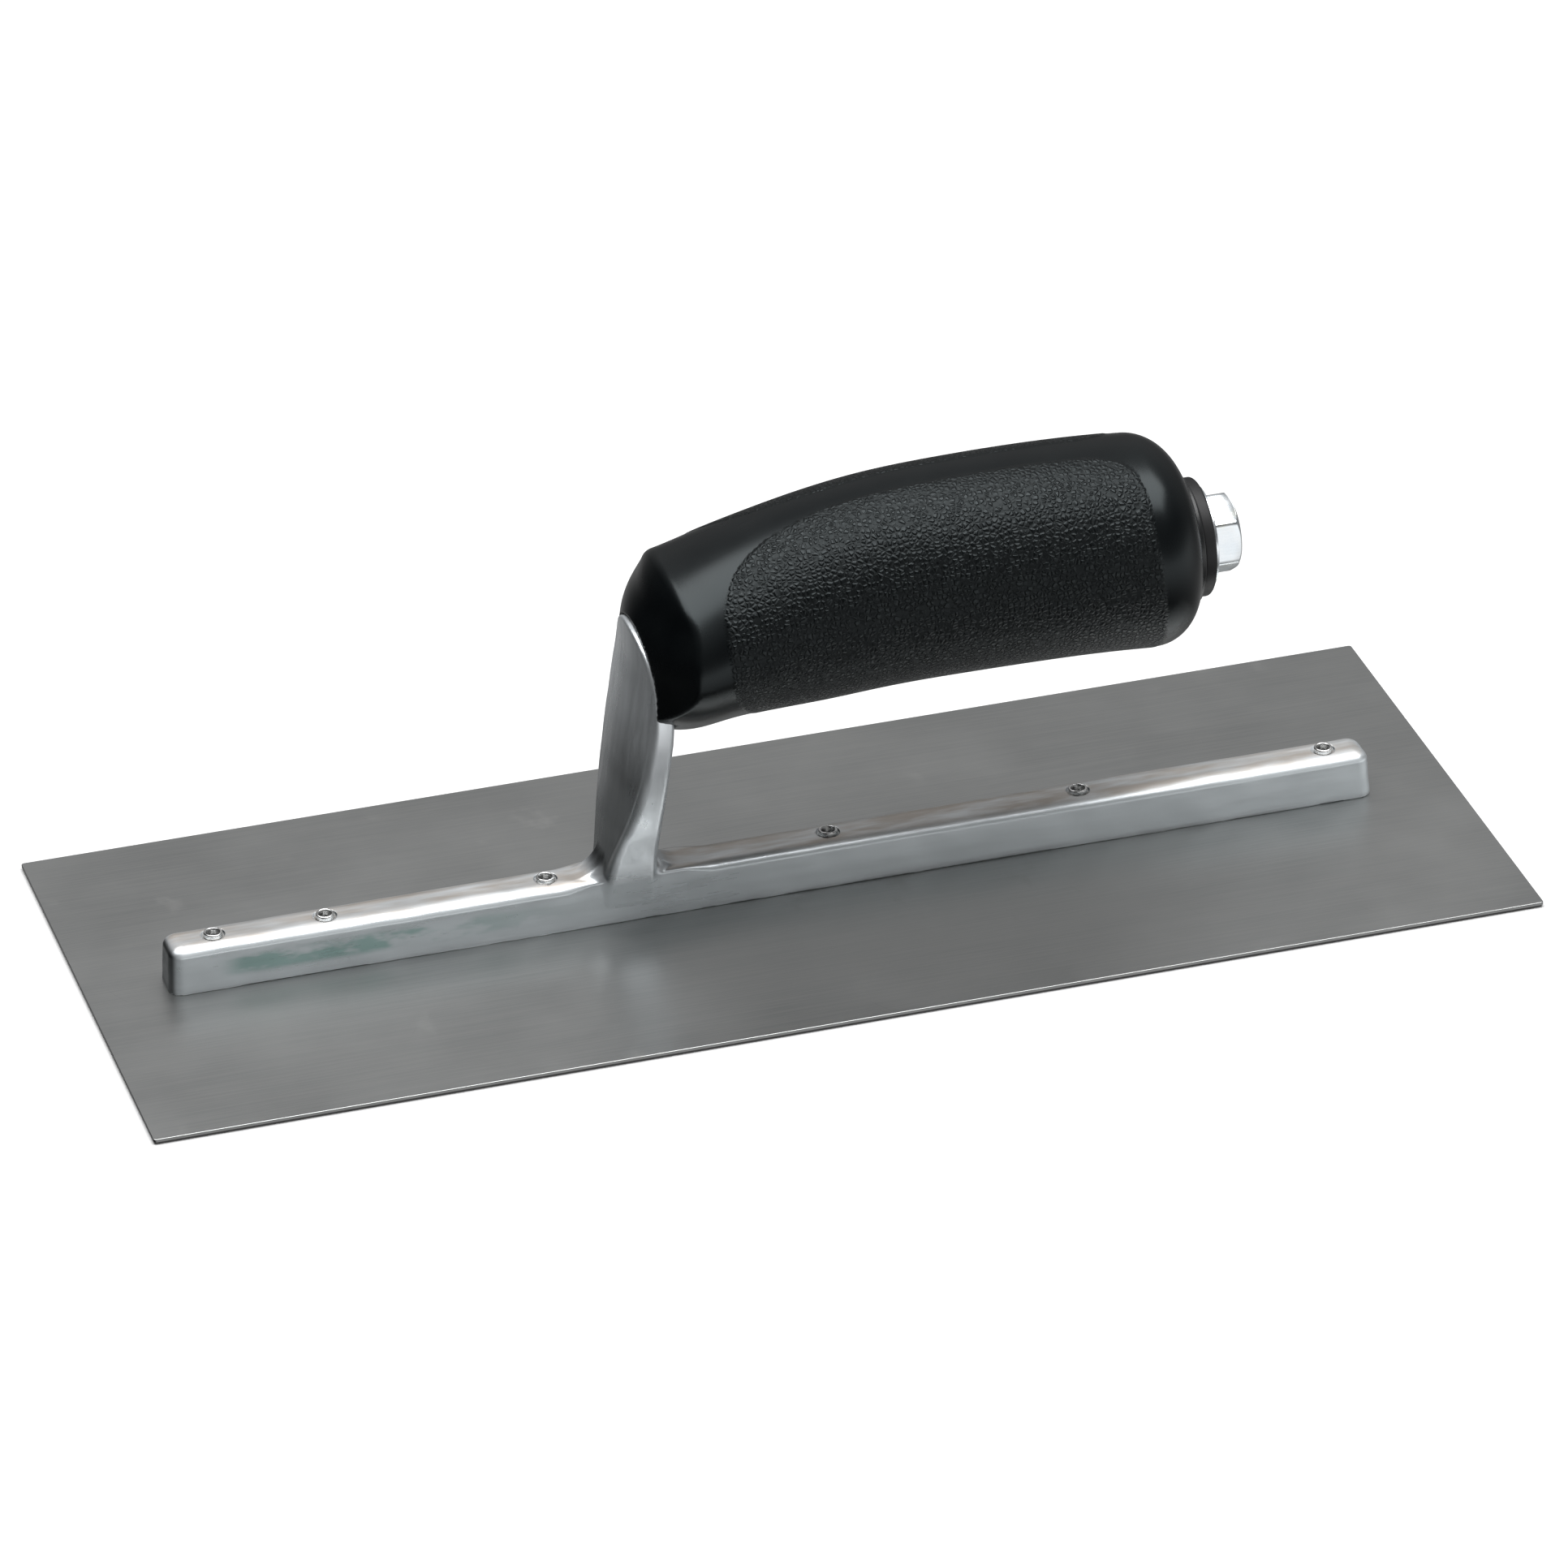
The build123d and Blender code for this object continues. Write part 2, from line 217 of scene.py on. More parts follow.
def surface_net(field, xs, ys, zs):
    """Surface of field = 0 as (points, quads, normals)."""
    lines = [xs, ys, zs]
    values = field(*np.meshgrid(*lines, indexing="ij"))
    inside = values < 0
    points, index = net_points(values, inside, lines)
    quads = net_quads(inside, index)
    del values, inside, index
    # move the points onto the exact surface
    for _ in range(3):
        slope = gradient(field, points)
        step = field(*points.T) / np.maximum((slope * slope).sum(1), 0.05)
        points = points - np.clip(step, -0.25, 0.25)[:, None] * slope
    slope = gradient(field, points)
    normals = slope / np.maximum(np.linalg.norm(slope, axis=1), 1e-9)[:, None]
    # where the surface has a sharp edge, take the normal of the facets
    facet = np.cross(points[quads[:, 2]] - points[quads[:, 0]],
                     points[quads[:, 3]] - points[quads[:, 1]])
    meshed = np.zeros_like(points)
    for k in range(4):
        np.add.at(meshed, quads[:, k], facet)
    meshed /= np.maximum(np.linalg.norm(meshed, axis=1), 1e-12)[:, None]
    sharp = (meshed * normals).sum(1) < 0.97
    normals[sharp] = meshed[sharp]
    return points, quads, normals


# ---------------------------------------------------------------- objects
def link_object(name, data):
    thing = bpy.data.objects.new(name, data)
    bpy.context.scene.collection.objects.link(thing)
    return thing


def mesh_object(name, points, faces, normals=None, **attributes):
    """Smooth-shaded mesh from millimetre points; each extra keyword is a point attribute."""
    mesh = bpy.data.meshes.new(name)
    mesh.from_pydata((np.asarray(points, float) * MM).tolist(), [],
                     [list(map(int, face)) for face in faces])
    mesh.validate(clean_customdata=False)
    mesh.update()
    mesh.shade_smooth()
    for key, values in attributes.items():
        layer = mesh.attributes.new(key, "FLOAT", "POINT")
        layer.data.foreach_set("value", np.asarray(values, np.float32))
    if normals is not None:
        mesh.normals_split_custom_set_from_vertices(normals.tolist())
    return link_object(name, mesh)


def turned_object(name, points, faces, sharp_angle):
    """Mesh object with its faces turned outwards and edges above the angle kept sharp."""
    thing = mesh_object(name, points, faces)
    work = bmesh.new()
    work.from_mesh(thing.data)
    bmesh.ops.recalc_face_normals(work, faces=work.faces)
    work.to_mesh(thing.data)
    work.free()
    thing.data.set_sharp_from_angle(angle=math.radians(sharp_angle))
    return thing


def lathe(profile, segments, closed, place):
    """Turns (radius, height) pairs; place(radius, angle, height) gives arrays x, y, z."""
    angles = np.linspace(0, TURN, segments, endpoint=False)
    points, faces, rows = [], [], []
    for radius, height in profile:
        start = len(points)
        if radius < 1e-6:
            rows.append([start] * segments)
            ring = place(np.array([0.0]), np.array([0.0]), height)
        else:
            rows.append(list(range(start, start + segments)))
            ring = place(np.full(segments, radius), angles, height)
        points.extend(zip(*(values.tolist() for values in ring)))
    for i in range(len(rows) if closed else len(rows) - 1):
        low, high = rows[i], rows[(i + 1) % len(rows)]
        for j in range(segments):
            k = (j + 1) % segments
            face = list(dict.fromkeys([low[j], low[k], high[k], high[j]]))
            if len(face) > 2:
                faces.append(face)
    return points, faces


def about_axis(radius, angle, height):
    return np.full_like(radius, height), radius * np.cos(angle), AXIS_Z + radius * np.sin(angle)


def profile_arc(radius, height, size, start, end, count):
    """Arc of the given size in a lathe profile, centred on (radius, height)."""
    return [(radius + size * math.cos(a), height + size * math.sin(a))
            for a in np.linspace(start, end, count)]


# ---------------------------------------------------------------- blade
def blade_outline(inset):
    half_l, half_w = BLADE_L / 2 - BLADE_CORNER, BLADE_W / 2 - BLADE_CORNER
    radius = BLADE_CORNER - inset
    outline = []
    for side_x, side_y, start in ((1, 1, 0), (-1, 1, 90), (-1, -1, 180), (1, -1, 270)):
        for i in range(7):
            angle = math.radians(start + 90 * i / 6)
            outline.append((side_x * half_l + radius * math.cos(angle),
                            side_y * half_w + radius * math.sin(angle)))
    return outline


def build_blade():
    """Plate with softened edges and a hole for each rivet."""
    points, faces = [], []

    def add_ring(outline, z):
        points.extend((x, y, z) for x, y in outline)
        return list(range(len(points) - len(outline), len(points)))

    def join(low, high):
        for i in range(len(low)):
            j = (i + 1) % len(low)
            faces.append([low[i], low[j], high[j], high[i]])

    near = BLADE_EDGE * 0.3
    levels = [(BLADE_EDGE, 0.0), (near, near), (0, BLADE_EDGE),
              (0, BLADE_T - BLADE_EDGE), (near, BLADE_T - near), (BLADE_EDGE, BLADE_T)]
    edge = [add_ring(blade_outline(inset), z) for inset, z in levels]
    for low, high in zip(edge[:-1], edge[1:]):
        join(low, high)
    bottom, top = [edge[0]], [edge[-1]]
    for rivet_x in RIVETS:
        hole = [(rivet_x + BLADE_HOLE_R * math.cos(t), BLADE_HOLE_R * math.sin(t))
                for t in np.linspace(0, TURN, 48, endpoint=False)]
        bottom.append(add_ring(hole, 0.0))
        top.append(add_ring(hole, BLADE_T))
        join(top[-1], bottom[-1])
    for rings, faces_up in ((bottom, False), (top, True)):
        loops = [[Vector((points[i][0], points[i][1], 0)) for i in ring] for ring in rings]
        flat = [i for ring in rings for i in ring]
        for triangle in tessellate_polygon(loops):
            face = [flat[k] for k in triangle]
            first, second, third = (np.array(points[k]) for k in face)
            if (np.cross(second - first, third - first)[2] > 0) != faces_up:
                face = face[::-1]
            faces.append(face)
    blade = mesh_object("blade_plate", points, faces)
    blade.data.set_sharp_from_angle(angle=math.radians(20))
    return blade


# ---------------------------------------------------------------- casting: bar, post and tang
# the post seen along X, from its foot up to the middle of its top: (y, z)
POST_OUTLINE = [
    (4.75, 2.0), (5.02, 5.5), (5.25, 7.5), (5.7, 10.0), (6.45, 12.8), (7.75, 16.3), (10.2, 21.4),
    (12.1, 26.0), (13.5, 30.4), (14.7, 35.6), (15.3, 40.9), (15.4, 45.0), (14.95, 49.0),
    (13.85, 52.8), (12.3, 56.3), (10.1, 59.4), (7.1, 61.6), (3.7, 62.8), (0.0, 63.2)]
# the post's +X face: heights, and x at each
POST_BACK = ([0, 9, 17, 24, 31.5, 39, 46, 52, 64],
             [-25.6, -25.6, -25.6, -25.5, -25.0, -24.3, -23.5, -23.5, -23.5])
# cast unevenness: (spread of the wave numbers, weight)
WAVE_KINDS = [(0.10, 1.0), (0.12, 1.0), (0.17, 0.7), (0.2, 0.7),
              (0.3, 0.4), (0.34, 0.4), (0.5, 0.22), (0.55, 0.22)]
WAVE_HEIGHT = 0.030


def outline_field():
    """Signed distance to the post's outline, looked up on a grid over (|y|, z)."""
    pitch = 0.2
    half = np.array(POST_OUTLINE)
    knots = np.concatenate([half, (half[:-1] * [-1, 1])[::-1]])
    along = np.concatenate([[0], np.cumsum(np.linalg.norm(np.diff(knots, axis=0), axis=1))])
    t = np.linspace(0, along[-1], 360)
    loop = np.stack([natural_cubic(along, knots[:, k])(t) for k in (0, 1)], 1)
    loop = np.concatenate([loop, loop[:1]])
    ys, zs = np.arange(0, 26, pitch), np.arange(0, 96, pitch)
    grid_y, grid_z = np.meshgrid(ys, zs, indexing="ij")
    spots = np.stack([grid_y.ravel(), grid_z.ravel()], 1)
    nearest = np.full(len(spots), 1e9)
    inside = np.zeros(len(spots), bool)
    for start, end in zip(loop[:-1], loop[1:]):
        run = end - start
        share = np.clip(((spots - start) @ run) / (run @ run), 0, 1)
        gap = np.linalg.norm(spots - start - share[:, None] * run, axis=1)
        nearest = np.minimum(nearest, gap)
        spans = (start[1] > spots[:, 1]) != (end[1] > spots[:, 1])
        if spans.any():
            crossing = start[0] + (spots[:, 1] - start[1]) / run[1] * run[0]
            inside ^= spans & (spots[:, 0] < crossing)
    table = np.where(inside, -nearest, nearest).reshape(grid_y.shape)

    def field(y, z):
        u = np.clip(np.abs(y) / pitch, 0, len(ys) - 1.001)
        v = np.clip(z / pitch, 0, len(zs) - 1.001)
        i, j = u.astype(int), v.astype(int)
        u, v = u - i, v - j
        return (table[i, j] * (1 - u) * (1 - v) + table[i + 1, j] * u * (1 - v)
                + table[i, j + 1] * (1 - u) * v + table[i + 1, j + 1] * u * v)
    return field


post_outline = outline_field()
post_back_x = natural_cubic(*POST_BACK)
random = np.random.default_rng(7)
WAVES = [(random.normal(size=3) * spread, random.uniform(0, 6.28), weight)
         for spread, weight in WAVE_KINDS]


def unevenness(x, y, z):
    total = 0
    for number, phase, weight in WAVES:
        total = total + weight * np.sin(number[0] * x + number[1] * y + number[2] * z + phase)
    return total


def bar_field(x, y, z):
    """Bar with drafted sides, rounded ends and a top edge that sharpens at the post."""
    draft = (z - BAR_Z0) * BAR_DRAFT
    out_x = (np.abs(x - (BAR_X0 + BAR_X1) / 2) - ((BAR_X1 - BAR_X0) / 2 - draft) + BAR_CORNER)
    out_y = np.abs(y) - (BAR_HALF - draft) + BAR_CORNER
    plan = (np.minimum(np.maximum(out_x, out_y), 0)
            + np.sqrt(np.maximum(out_x, 0) ** 2 + np.maximum(out_y, 0) ** 2) - BAR_CORNER)
    foot = smoothstep(x, -45.0, -37.5) - smoothstep(x, -20.5, -13.0)
    return rounded_max(0.6 * plan, z - BAR_TOP - 0.02 * np.sin(x * 0.11), 1.9 - 1.3 * foot)


def post_field(x, y, z):
    """Post with a crowned, sloping -X face, a curved +X face and a flared outline."""
    below = POST_BEND * np.logaddexp(0, (POST_BEND_Z - z) / POST_BEND)
    face_x = POST_X - below * POST_SLOPE
    face = (np.sqrt((x - face_x - POST_CROWN_R) ** 2 + y * y) - POST_CROWN_R) * 0.99
    face = np.where(x < face_x + POST_CROWN_R, face, -POST_CROWN_R)
    post = rounded_max(face, post_outline(y, z), 1.7 - 1.2 * smoothstep(z, 45, 56))
    return rounded_max(post, x - post_back_x(z), 1.5)


def casting_field(x, y, z):
    middle = 1 - smoothstep(np.abs(y), 2.2, 5.4)
    fillet = 0.55 * smoothstep(z, 3.0, 6.0) + 5.1 * middle * smoothstep(z, 6.2, 9.8) + 0.05
    solid = filleted_min(bar_field(x, y, z), post_field(x, y, z), fillet)
    # tang on the +X side of the post
    tang = tang_field(x, y, z, start=-24.6, length=7.0, radius=5.0, growth=3.0)
    tang = np.where(x < TANG_ROUND_X, tang * 0.85, tang)
    tang = rounded_max(tang, x - 12.0, 0.6)
    tang = np.maximum(tang, -25.5 - x)
    solid = filleted_min(solid, tang, 0.25)
    # bore with a chamfered mouth
    wall = from_axis(y, z) - BORE_R
    bore = np.maximum(wall, TANG_ROUND_X - x)
    bore = np.minimum(bore, np.maximum(wall - np.clip(x - 11.4, 0, 1.0), 11.0 - x))
    solid = np.maximum(solid, -bore)
    solid = solid - WAVE_HEIGHT * unevenness(x, y, z) * (z < 56)
    # rivet holes and spot-faces
    for rivet_x in RIVETS:
        near = np.sqrt((x - rivet_x) ** 2 + y * y)
        spot = np.maximum(near - 2.3, BAR_TOP - 0.45 - z)
        solid = np.where(near < 8, rounded_max(solid, -spot, 0.12), solid)
        solid = np.where(near < 4, np.maximum(solid, -(near - 1.65)), solid)
    return np.maximum(solid, BAR_Z0 - z)


def casting_spans():
    """Grid spans along X: fine at the ends, the rivets and the post."""
    fine = sorted([(x - 3.4, x + 3.4, 0.27) for x in RIVETS] + [(-46.0, -12.5, 0.36)])
    reached = -118.5
    spans = [(-125.0, reached, 0.3)]
    for start, end, pitch in fine:
        start = max(start, reached)
        if start > reached:
            spans.append((reached, start, 1.0))
        if end > start:
            spans.append((start, end, pitch))
            reached = end
    return spans + [(reached, 118.0, 0.5), (118.0, 124.0, 0.3)]


def build_casting():
    xs = grid(*casting_spans())
    ys = grid((-16.4, -6.4, 0.5), (-6.4, 6.4, 0.3), (6.4, 16.4, 0.5))
    zs = grid((0.2, 11.4, 0.3), (11.4, 48.0, 0.52), (48.0, 71.2, 0.42))
    points, quads, normals = surface_net(casting_field, xs, ys, zs)
    # concavity, for painted shade where the surface turns inwards
    reach = 1.4
    around = ((1, 0, 0), (-1, 0, 0), (0, 1, 0), (0, -1, 0), (0, 0, 1), (0, 0, -1))
    bend = sum(casting_field(*(points + np.array(step) * reach).T) for step in around)
    cavity = np.clip(-(bend / reach) * 0.9, -1, 1)
    # but not along the flanks of the bar
    y, z = np.abs(points[:, 1]), points[:, 2]
    cavity *= 1 - smoothstep(y, 3.9, 4.6) * (1 - smoothstep(z, 12.0, 16.0))
    return mesh_object("cast_mounting", points, quads, normals, cavity=cavity)


# ---------------------------------------------------------------- soft grip
# sections: x, centre z, half width, height above and depth below the centre,
# exponent of the lower half (2 is an ellipse)
SECTIONS = np.array([
    (-36.0, 57.6, 22.6, 14.4, 11.0, 1.50), (-29.0, 57.7, 22.9, 15.2, 13.7, 1.50),
    (-23.0, 57.9, 23.1, 16.0, 16.95, 1.53), (-18.0, 58.3, 23.0, 16.9, 17.9, 1.60),
    (-12.0, 59.4, 22.5, 17.9, 18.0, 1.68), (-3.0, 61.0, 21.8, 19.1, 18.5, 1.85),
    (8.0, 62.6, 21.3, 20.3, 19.7, 1.96), (21.0, 63.9, 21.1, 21.2, 20.3, 2.0),
    (37.0, 64.5, 21.3, 21.5, 20.7, 2.0), (54.0, 64.5, 21.7, 21.5, 20.8, 2.0),
    (68.0, 64.1, 21.9, 21.3, 20.9, 2.0), (78.0, 63.6, 21.9, 21.0, 21.1, 2.0),
    (90.0, 63.0, 21.8, 20.5, 21.0, 2.0)])
section_z, section_half, section_up, section_down, section_power = (
    natural_cubic(SECTIONS[:, 0], SECTIONS[:, k]) for k in range(1, 6))
# the -X end of the grip at y = 0: (x, z)
NOSE = np.array([
    (-33.6, 34.0), (-32.0, 42.0), (-30.4, 49.4), (-29.25, 55.3), (-28.9, 57.8), (-28.2, 61.9),
    (-27.1, 64.6), (-25.3, 67.9), (-23.8, 70.9), (-21.6, 74.0), (-17.6, 79.0), (-12.0, 84.0),
    (-2.0, 92.0)])
nose_x = natural_cubic(NOSE[:, 1], NOSE[:, 0])
# edges of the grained side panels; angles are degrees up from level about the section centre
PANEL_TOP = np.array([  # x, angle
    (-30, 78), (0, 78), (12, 80), (50, 80.5), (66, 79), (72, 76)]).T
PANEL_START = np.array([  # angle, x of the -X end
    (-90, -3.0), (-60, -5.5), (-40, -8.5), (-23, -11.0), (-8, -13.0), (6, -13.6), (19, -13.8),
    (32, -13.3), (45, -11.9), (56, -9.5), (65, -6.0), (72, -1.5), (78, 6.0), (84, 20)]).T
PANEL_END = np.array([  # angle, x of the +X end
    (-90, 75.5), (-35, 75.3), (-10, 74.3), (11, 73.6), (31, 73.2), (53, 73.0), (66, 72.0),
    (74, 70.0), (80, 64.0), (84, 55)]).T
MM_PER_DEGREE = math.pi / 180 * 21


def grip_sides(x, y, z):
    """Elliptical above the section centre, pinched below it."""
    rise = z - section_z(x)
    across = np.abs(y) / section_half(x)
    power = section_power(x)
    upper = np.sqrt(across ** 2 + (rise / section_up(x)) ** 2)
    lower = (across ** power + (np.abs(rise) / section_down(x)) ** power) ** (1 / power)
    ratio = np.where(rise >= 0, upper, lower)
    radius = np.sqrt(y * y + rise * rise + 1e-6)
    return radius - radius / np.maximum(ratio, radius / 60)


def grip_shell(x, y, z):
    body = rounded_max(grip_sides(x, y, z), x - GRIP_END_X, GRIP_END_ROUND)
    out = np.where(x < NOSE_CENTRE_X, np.sqrt((x - NOSE_CENTRE_X) ** 2 + y * y), np.abs(y))
    return rounded_max(body, (out - (NOSE_CENTRE_X - nose_x(z))) * 0.93, 0.7)


def panel_at(x, y, z):
    """1 on the grained side panels, 0 off them."""
    angle = np.degrees(np.arctan2(z - section_z(x), np.abs(y)))
    above = angle - np.interp(x, *PANEL_TOP)
    past_start = x - np.interp(angle, *PANEL_START)
    before_end = np.interp(angle, *PANEL_END) - x
    return (smoothstep(-above * MM_PER_DEGREE, -0.5, 0.5) * smoothstep(past_start, -0.5, 0.5)
            * smoothstep(before_end, -0.5, 0.5))


def grip_field(x, y, z):
    grip = grip_shell(x, y, z) - PANEL_RISE * panel_at(x, y, z)
    # recess for the head of the post
    grip = rounded_max(grip, -np.maximum(post_outline(y, z) - 0.15, x - SEAT_X), 0.3)
    # underside over the post: two slopes that meet at x = -27.8
    lip_x, lip_z = -27.8, 49.0
    underside = np.where(x < lip_x, lip_z + (lip_x - x) * 3.0 / 17.2,
                         47.6 + (SEAT_X - x) * 1.4 / 4.45)
    grip = rounded_max(grip, -np.maximum(z - underside, x - SEAT_X), 0.35)
    # room for the tang and the core
    tang = tang_field(x, y, z, start=-24.9, length=7.2, radius=5.15, growth=2.93)
    tang = np.maximum(tang, -24.9 - x)
    core = np.maximum(from_axis(y, z) - 12.43, -11.95 - x)
    return np.maximum(grip, -np.minimum(tang, core))


def build_grip():
    xs = grid((-29.5, -22.0, 0.45), (-22.0, 74.0, 0.62), (74.0, 85.0, 0.5))
    ys = grid((-23.8, 23.8, 0.56))
    zs = grid((39.2, 87.0, 0.56))
    points, quads, normals = surface_net(grip_field, xs, ys, zs)
    panel = panel_at(*points.T)
    # only the outer skin is grained
    panel *= np.abs(grip_shell(*points.T) - PANEL_RISE * panel) < 0.12
    return mesh_object("soft_grip", points, quads, normals, panel=panel)


# ---------------------------------------------------------------- turned pieces
def build_rivets():
    """Tubular rivets with a rolled, hollow upper end, each a little out of round."""
    top, base = BAR_TOP + 0.62, BAR_TOP - 0.42
    profile = [(0, 0.0), (1.0, 0.0), (2.0, 0.0), (2.78, 0.0), (2.85, 0.06),
               (1.62, BLADE_T + 0.01), (1.6, 1.2), (1.6, base),
               (1.7, base), (1.82, base + 0.05), (1.88, base + 0.16), (1.88, top - 0.30)]
    profile += profile_arc(1.59, top - 0.29, 0.29, 0.15, 2.75, 9)
    profile += [(1.22, top - 0.55), (1.1, top - 0.95), (0.95, top - 1.3), (0.5, top - 1.52),
                (0.0, top - 1.58)]
    points, faces = [], []
    random = np.random.default_rng(3)
    for rivet_x in RIVETS:
        squash, phase = random.uniform(0.0, 0.05), random.uniform(0, 6.28)

        def place(radius, angle, height):
            oval = 1 + squash * np.cos(2 * angle + phase) * (height > base) * 0.6
            z = np.full_like(radius, height)
            if height > top - 0.6:
                z = z + 0.05 * np.sin(angle * 3 + phase) * radius / 2.0
            return rivet_x + radius * oval * np.cos(angle), radius * oval * np.sin(angle), z
        new_points, new_faces = lathe(profile, 56, False, place)
        faces += [[v + len(points) for v in face] for face in new_faces]
        points += new_points
    return turned_object("tubular_rivets", points, faces, sharp_angle=50)


def build_ring(name, x0, x1, inner, outer, edge):
    """Flat ring about the axis, with rounded outer edges and a chamfered hole."""
    chamfer = 0.15
    profile = [(inner + chamfer, x0), (outer - edge, x0)]
    profile += profile_arc(outer - edge, x0 + edge, edge, 0.3 - math.pi / 2, 0, 5)
    profile += profile_arc(outer - edge, x1 - edge, edge, 0, math.pi / 2, 6)
    profile += [(inner + chamfer, x1), (inner, x1 - chamfer), (inner, x0 + chamfer)]
    return turned_object(name, *lathe(profile, 128, True, about_axis), sharp_angle=40)


def build_pad():
    return build_ring("moulded_end_pad", PAD_X0, PAD_X1, inner=5.1, outer=11.85, edge=0.55)


def build_washer():
    return build_ring("plain_washer", WASHER_X0, WASHER_X1, inner=5.15, outer=10.32, edge=0.18)


def build_core():
    """Tube inside the grip, with a flange at +X and a socket for the tang at -X."""
    edge = 0.35
    bevel_x = CORE_X0 + CORE_BEVEL
    profile = [(CORE_R - CORE_BEVEL, CORE_X0), (CORE_R, bevel_x), (CORE_R, 30), (CORE_R, 60),
               (CORE_R, FLANGE_X0), (FLANGE_R, FLANGE_X0), (FLANGE_R, CORE_END - edge)]
    profile += profile_arc(FLANGE_R - edge, CORE_END - edge, edge, 0.3, math.pi / 2, 5)
    profile += [(9.0, CORE_END), (CORE_BORE_R + 0.25, CORE_END), (CORE_BORE_R, CORE_END - 0.25),
                (CORE_BORE_R, 50), (CORE_BORE_R, SOCKET_END), (SOCKET_R, SOCKET_END),
                (SOCKET_R, bevel_x), (SOCKET_R + CORE_BEVEL, CORE_X0)]
    points, faces = lathe(profile, 128, True, about_axis)
    return turned_object("rigid_core", points, faces, sharp_angle=35)


def build_bolt():
    """Hexagon bolt from the top of its head at +X to the tip of its thread."""
    count = 360
    angle = np.linspace(0, TURN, count, endpoint=False)
    rows = []

    def ring(radius, x):
        radius = np.broadcast_to(radius, (count,))
        rows.append(np.stack([np.broadcast_to(x, (count,)), radius * np.cos(angle),
                              AXIS_Z + radius * np.sin(angle)], 1))

    def top_at(radius):
        """Top of the head, chamfered towards its corners."""
        return (BOLT_SEAT + HEAD_H - np.maximum(radius - 6.55, 0) * math.tan(math.radians(30))
                - np.maximum(radius - 6.35, 0) ** 2 * 0.05)

    # radius of the hexagon in each direction, its corners slightly rounded
    from_flat = (angle - HEAD_TURN + math.pi / 6) % (math.pi / 3) - math.pi / 6
    hexagon = (HEAD_FLATS / 2) / np.cos(from_flat)
    soft = 0.35
    limit = HEAD_FLATS / 2 / math.cos(math.pi / 6) - soft
    hexagon = np.where(hexagon > limit,
                       limit + soft * (1 - np.exp(-(hexagon - limit) / soft)), hexagon)

    for size in (0.05, 2.0, 4.0, 5.6, 6.2, 6.4, 6.5, 6.6, 6.8):
        radius = np.minimum(np.full(count, size), hexagon - 0.1)
        ring(radius, top_at(radius))
    for share in (0.35, 0.7, 0.97):
        radius = 6.8 + (hexagon - 6.8) * share
        ring(radius, top_at(radius))
    edge = 0.08
    rim = top_at(hexagon)
    ring(hexagon - 0.3 * edge, rim - 0.3 * edge)
    ring(hexagon, rim - edge)
    for share in (0.3, 0.6, 0.9):
        ring(hexagon, rim - edge + (BOLT_SEAT + 0.45 - rim + edge) * share)
    ring(hexagon, BOLT_SEAT + 0.38)
    ring(np.minimum(hexagon - 0.25, 6.9), BOLT_SEAT + 0.36)
    # bearing face, then the plain shank: (radius, x)
    for radius, x in ((6.85, BOLT_SEAT + 0.2), (6.8, BOLT_SEAT), (5.2, BOLT_SEAT),
                      (SHANK_R, BOLT_SEAT - 0.3)):
        ring(radius, x)
    for x in np.linspace(BOLT_SEAT - 1.5, 16.0, 6):
        ring(SHANK_R, x)
    # helical thread that deepens over its first 2 mm and tapers at the tip
    for x in np.arange(THREAD_START, BOLT_TIP - 0.05, -THREAD_PITCH / 10):
        phase = ((x / THREAD_PITCH) + angle / TURN) % 1.0
        groove = np.clip(np.abs(phase - 0.5) * 2 * 1.25 - 0.125, 0, 1)
        radius = SHANK_R - THREAD_DEPTH * groove * min(1.0, (THREAD_START - x) / 2.0)
        ring(np.minimum(radius, 4.0 + (x - BOLT_TIP)), x)
    ring(3.8, BOLT_TIP)
    ring(0.05, BOLT_TIP)

    last = (len(rows) - 1) * count
    i = np.arange(len(rows) - 1)[:, None] * count
    j = np.arange(count)[None, :]
    k = (j + 1) % count
    faces = np.stack([i + j, i + count + j, i + count + k, i + k], -1).reshape(-1, 4).tolist()
    faces.append(list(range(count)))
    faces.append(list(range(last, last + count))[::-1])
    return turned_object("hex_bolt_steel", np.concatenate(rows), faces, sharp_angle=28)


